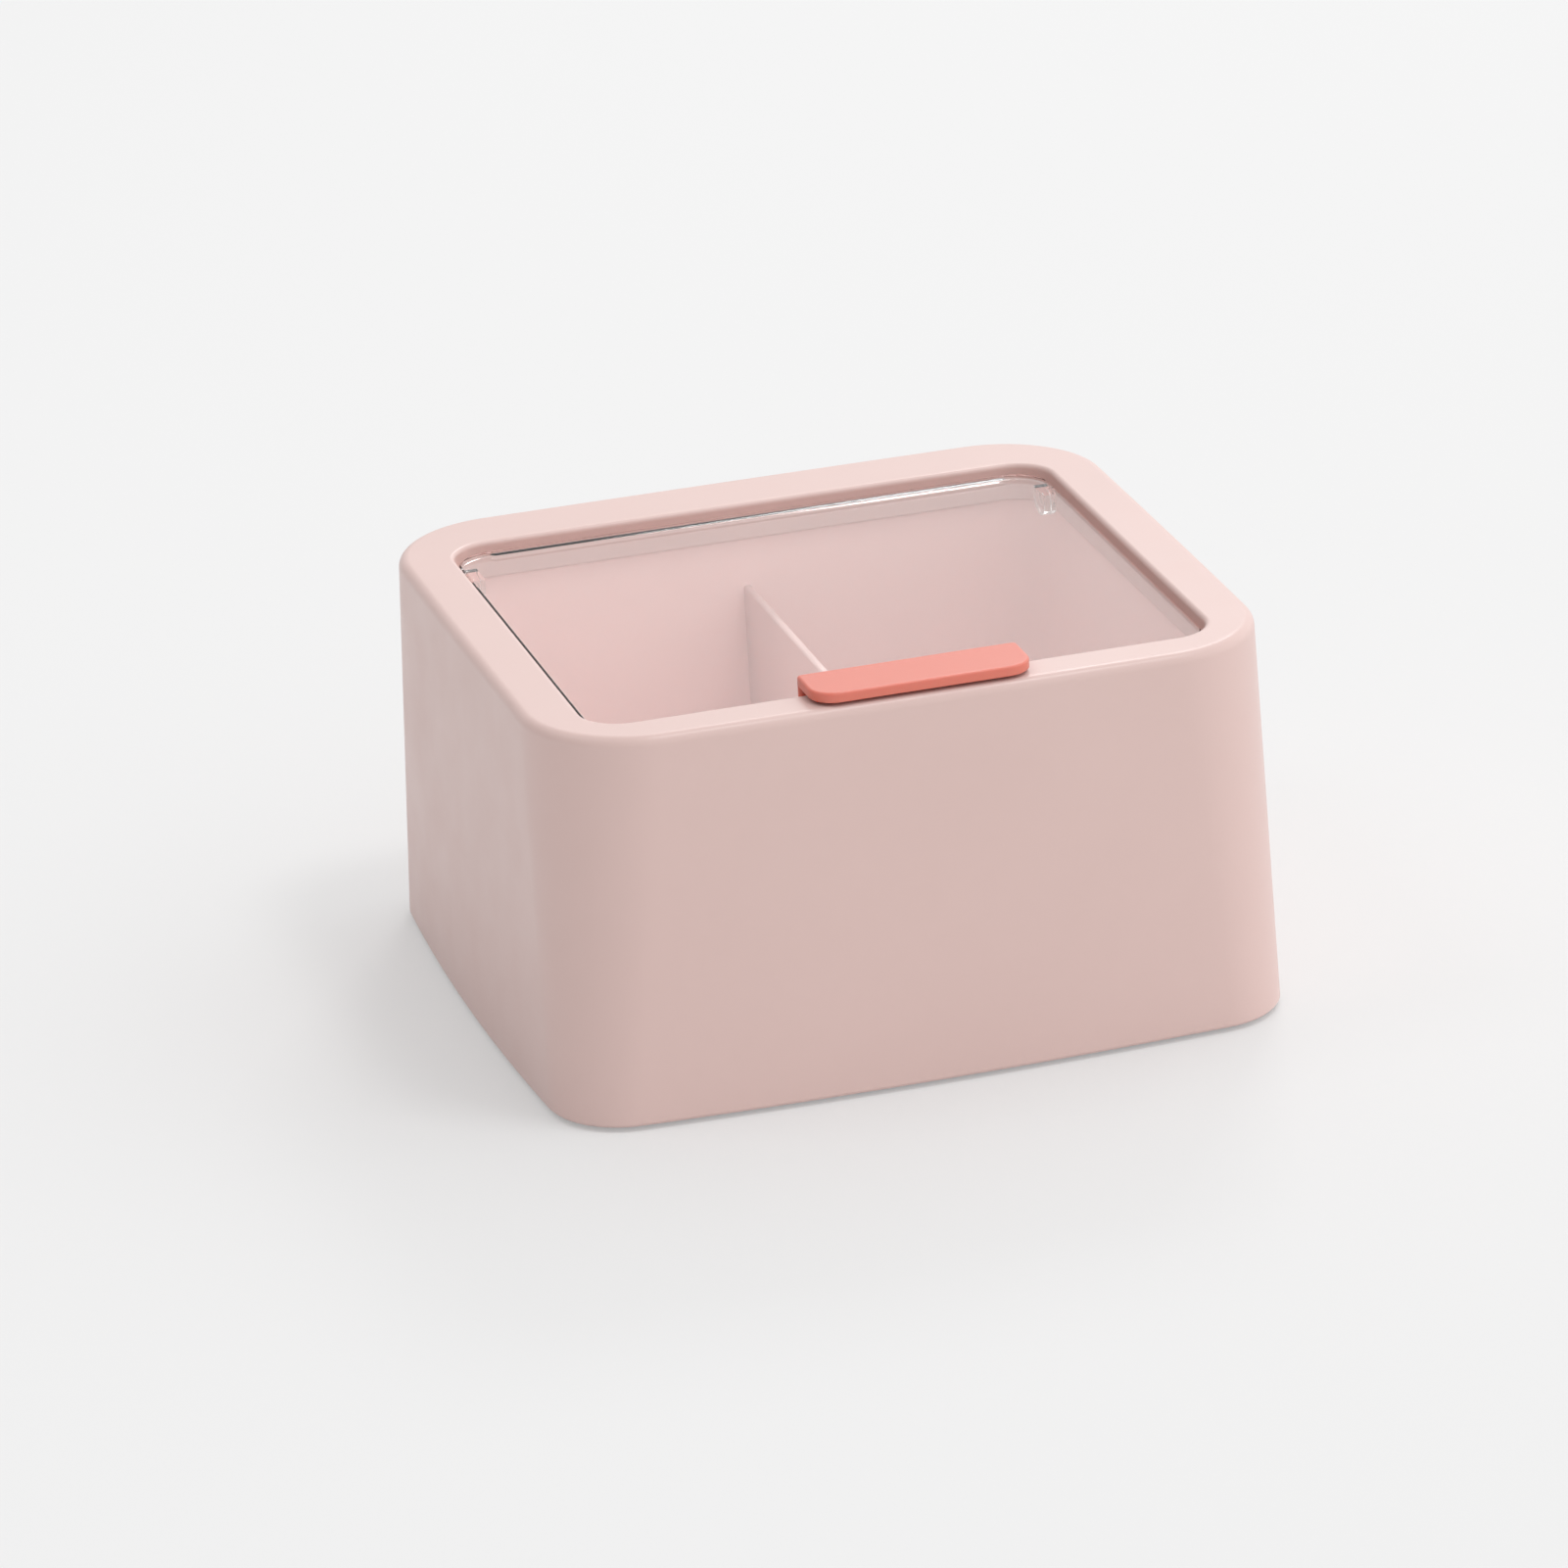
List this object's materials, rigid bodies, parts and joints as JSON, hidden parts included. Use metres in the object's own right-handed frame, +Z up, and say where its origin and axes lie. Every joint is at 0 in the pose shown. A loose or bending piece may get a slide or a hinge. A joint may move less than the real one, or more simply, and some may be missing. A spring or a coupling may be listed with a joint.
{
  "type": "flip-lid storage box",
  "caption": "Flared rounded storage box with a two-compartment inner tray and a clear flip lid lifted by a pull tab.",
  "frame": {"origin": "centre of the footprint on the table, between the undersides of the four feet", "axes": "+X along the width to the right of a user who faces the tab, -Y towards the user and the tab, +Z up"},
  "size_m": [0.135, 0.1214, 0.0729],
  "materials": {
    "shell_plastic": "satin moulded",
    "tray_plastic": "satin moulded",
    "clear_plastic": "clear polished",
    "tab_plastic": "satin moulded",
    "base_plastic": "fine texture",
    "screw_steel": "zinc plated",
    "foot_rubber": "matte"
  },
  "bodies": {
    "box": {"outer_shell": "shell_plastic", "inner_tray": "tray_plastic", "base_plate": "base_plastic", "base_screws": "screw_steel", "foot_front_left": "foot_rubber", "foot_front_right": "foot_rubber", "foot_rear_left": "foot_rubber", "foot_rear_right": "foot_rubber"},
    "lid": {"clear_lid": "clear_plastic", "pull_tab": "tab_plastic"}
  },
  "joints": [
    {"name": "lid_hinge", "type": "hinge", "parent": "box", "child": "lid", "pos_m": [0, 0.03445, 0.066], "axis": [-1, 0, 0], "range_deg": [0, 120]}
  ]
}
